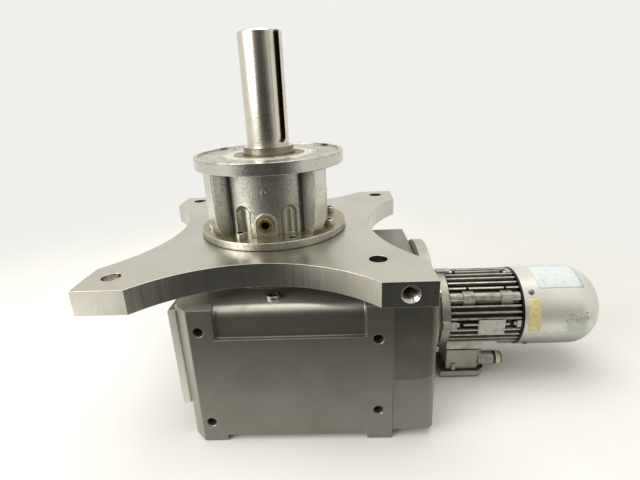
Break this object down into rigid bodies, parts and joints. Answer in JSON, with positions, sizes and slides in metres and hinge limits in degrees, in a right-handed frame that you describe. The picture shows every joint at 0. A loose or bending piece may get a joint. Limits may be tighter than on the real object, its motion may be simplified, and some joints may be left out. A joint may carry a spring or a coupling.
{
  "type": "gear motor",
  "caption": "Right-angle helical-bevel brake gear motor with a vertical keyed output shaft, a ribbed bearing lantern, an X-shaped mounting plate and a finned motor with terminal box.",
  "frame": {"origin": "output shaft axis at the face of the lantern's upper flange", "axes": "+Z out along the output shaft, +X along the motor axis away from the gear housing, -Y towards the gear housing's machined front face"},
  "size_m": [0.813, 0.492, 0.608],
  "materials": {
    "ground_steel": "ground and lightly oiled",
    "silver_cast_paint": "silver-grey paint on a rough casting",
    "plate_paint": "light grey paint on rolled plate",
    "housing_paint": "dark metallic grey paint on iron casting",
    "flange_paint": "grey paint on a casting",
    "motor_paint": "dark grey gloss paint",
    "cover_paint": "silver paint on pressed sheet",
    "box_paint": "mid grey paint on die casting",
    "black_steel": "black oxide",
    "zinc_steel": "zinc plated",
    "gear_steel": "ground teeth, oiled",
    "bearing_steel": "polished",
    "core_steel": "stacked sheet",
    "brass": "turned",
    "copper_wire": "varnished wire",
    "seal_rubber": "moulded",
    "friction_lining": "pressed lining",
    "black_plastic": "moulded",
    "pale_plastic": "moulded",
    "plain_aluminium": "bare sheet"
  },
  "bodies": {
    "housing": {"gear_housing": "housing_paint", "foot_rails": "housing_paint", "housing_plug": "black_steel", "lower_bearing_cap": "housing_paint", "intermediate_bearing_cap": "housing_paint", "rear_cover": "housing_paint", "rear_cover_screws": "zinc_steel", "mounting_plate": "plate_paint", "plate_screws": "black_steel", "bearing_lantern": "silver_cast_paint", "lantern_screws": "black_steel", "oil_plug": "brass", "grease_nipple": "zinc_steel", "seal_cover": "silver_cast_paint", "seal_cover_screws": "zinc_steel", "shaft_seal": "seal_rubber", "output_bearing_outer_rings": "bearing_steel", "intermediate_bearing_outer_rings": "bearing_steel", "pinion_bearing_outer_rings": "bearing_steel", "rotor_bearing_outer_rings": "bearing_steel", "input_flange": "flange_paint", "input_flange_screws": "zinc_steel", "motor_front_shield": "flange_paint", "motor_shield_screws": "zinc_steel", "stator_frame": "motor_paint", "stator_core": "core_steel", "stator_windings": "copper_wire", "rear_shield": "motor_paint", "brake_magnet": "black_steel", "brake_springs": "ground_steel", "brake_bolts": "zinc_steel", "fan_cover": "cover_paint", "fan_cover_screws": "black_steel", "nameplate": "plain_aluminium", "terminal_box": "box_paint", "terminal_block": "black_plastic", "box_gaskets": "seal_rubber", "terminal_lid": "box_paint", "lid_screws": "zinc_steel", "outlet_ring": "black_plastic", "blanking_plug": "pale_plastic"},
    "output": {"output_shaft": "ground_steel", "output_wheel": "gear_steel", "output_wheel_key": "ground_steel", "output_spacers": "ground_steel", "output_bearing_inner_rings": "bearing_steel"},
    "intermediate": {"intermediate_shaft": "gear_steel", "bevel_wheel": "gear_steel", "intermediate_bearing_inner_rings": "bearing_steel"},
    "bevel_pinion": {"bevel_pinion_shaft": "gear_steel", "input_wheel": "gear_steel", "pinion_bearing_inner_rings": "bearing_steel"},
    "rotor": {"rotor_shaft": "ground_steel", "motor_pinion": "gear_steel", "rotor_core": "core_steel", "rotor_bearing_inner_rings": "bearing_steel", "brake_hub": "ground_steel", "brake_disc": "friction_lining", "fan": "black_plastic"},
    "armature": {"brake_armature": "black_steel"}
  },
  "joints": [
    {"name": "output_turn", "type": "hinge", "parent": "housing", "child": "output", "pos_m": [0, 0, 0], "axis": [0, 0, 1], "continuous": true},
    {"name": "intermediate_turn", "type": "hinge", "parent": "housing", "child": "intermediate", "pos_m": [0.10392, -0.06, -0.3045], "axis": [0, 0, 1], "continuous": true},
    {"name": "bevel_pinion_turn", "type": "hinge", "parent": "housing", "child": "bevel_pinion", "pos_m": [0.2, -0.06, -0.3045], "axis": [1, 0, 0], "continuous": true},
    {"name": "rotor_turn", "type": "hinge", "parent": "housing", "child": "rotor", "pos_m": [0.4, 0, -0.3045], "axis": [1, 0, 0], "continuous": true},
    {"name": "armature_slide", "type": "slide", "parent": "housing", "child": "armature", "axis": [1, 0, 0], "range_m": [0, 0.0003], "stiffness_N_per_m": 40000, "springref_m": -0.001}
  ],
  "couplings": [
    {"joint": "intermediate_turn", "follows": "output_turn", "ratio": -3},
    {"joint": "bevel_pinion_turn", "follows": "output_turn", "ratio": -9},
    {"joint": "rotor_turn", "follows": "output_turn", "ratio": 27}
  ]
}
